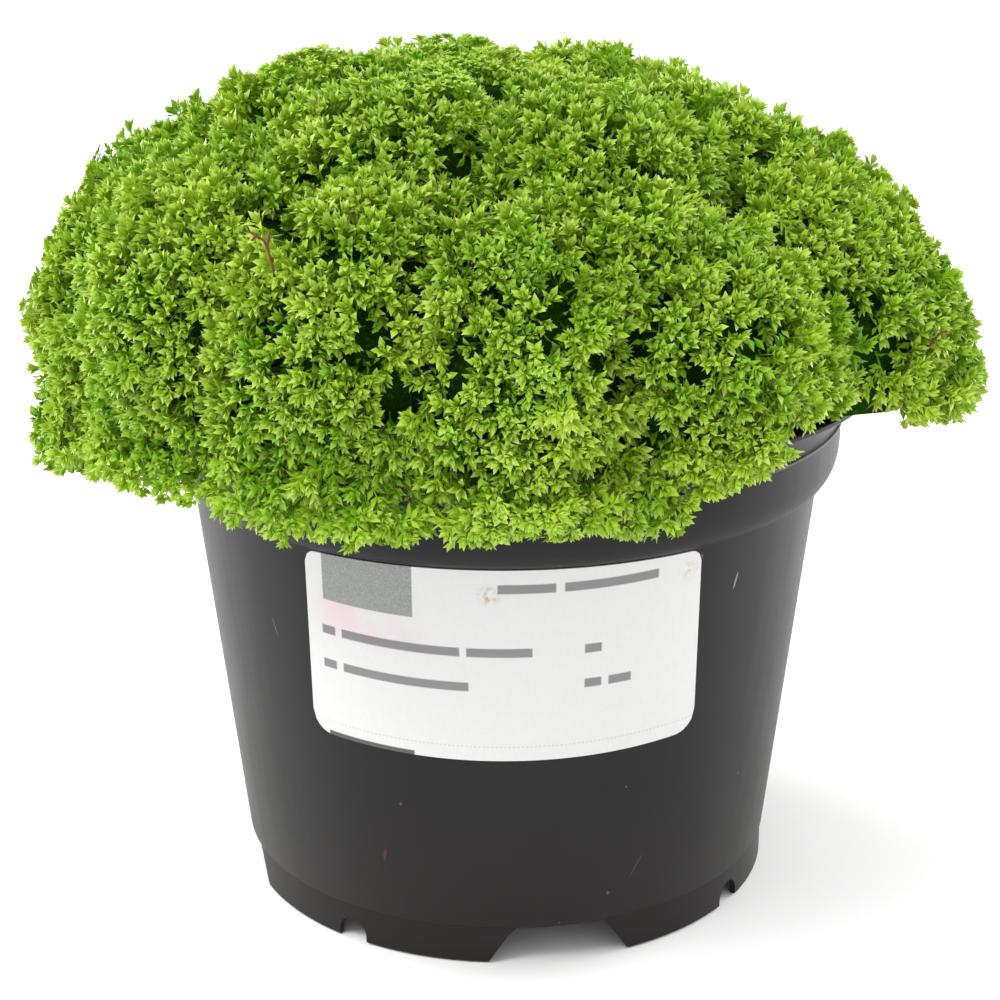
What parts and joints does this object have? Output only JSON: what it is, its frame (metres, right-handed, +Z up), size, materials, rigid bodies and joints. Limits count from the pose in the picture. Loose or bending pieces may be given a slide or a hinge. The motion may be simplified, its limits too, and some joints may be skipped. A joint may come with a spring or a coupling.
{
  "type": "spikemoss plant in a nursery pot",
  "caption": "Dense domed cushion of feathery spikemoss growing over the lip of a tapered round black nursery pot with a blank white stick-on label.",
  "frame": {"origin": "centre of the circle that the pot stands on, at the underside of its foot ring", "axes": "+Z up through the pot's axis; the label faces -Y; +X is to the right of someone facing the label"},
  "size_m": [0.1667, 0.1669, 0.1485],
  "materials": {
    "plastic": "thin moulded nursery-pot plastic, charcoal, satin, lightly scuffed",
    "paper": "matt white stick-on label with plain grey blocks and a little soil staining",
    "peat": "moist dark peat, crumbly and matt",
    "foliage": "fresh yellow-green scale leaves with pale tips, softly glossy"
  },
  "bodies": {
    "root": {"pot": "plastic", "label": "paper", "growing_medium": "peat", "crown_clump": "foliage", "inner_clump_1": "foliage", "inner_clump_2": "foliage", "inner_clump_3": "foliage", "inner_clump_4": "foliage", "inner_clump_5": "foliage", "inner_clump_6": "foliage", "middle_clump_1": "foliage", "middle_clump_2": "foliage", "middle_clump_3": "foliage", "middle_clump_4": "foliage", "middle_clump_5": "foliage", "middle_clump_6": "foliage", "middle_clump_7": "foliage", "middle_clump_8": "foliage", "middle_clump_9": "foliage", "outer_clump_1": "foliage", "outer_clump_2": "foliage", "outer_clump_3": "foliage", "outer_clump_4": "foliage", "outer_clump_5": "foliage", "outer_clump_6": "foliage", "outer_clump_7": "foliage", "outer_clump_8": "foliage", "outer_clump_9": "foliage", "outer_clump_10": "foliage", "outer_clump_11": "foliage", "outer_clump_12": "foliage", "outer_clump_13": "foliage"}
  },
  "joints": []
}
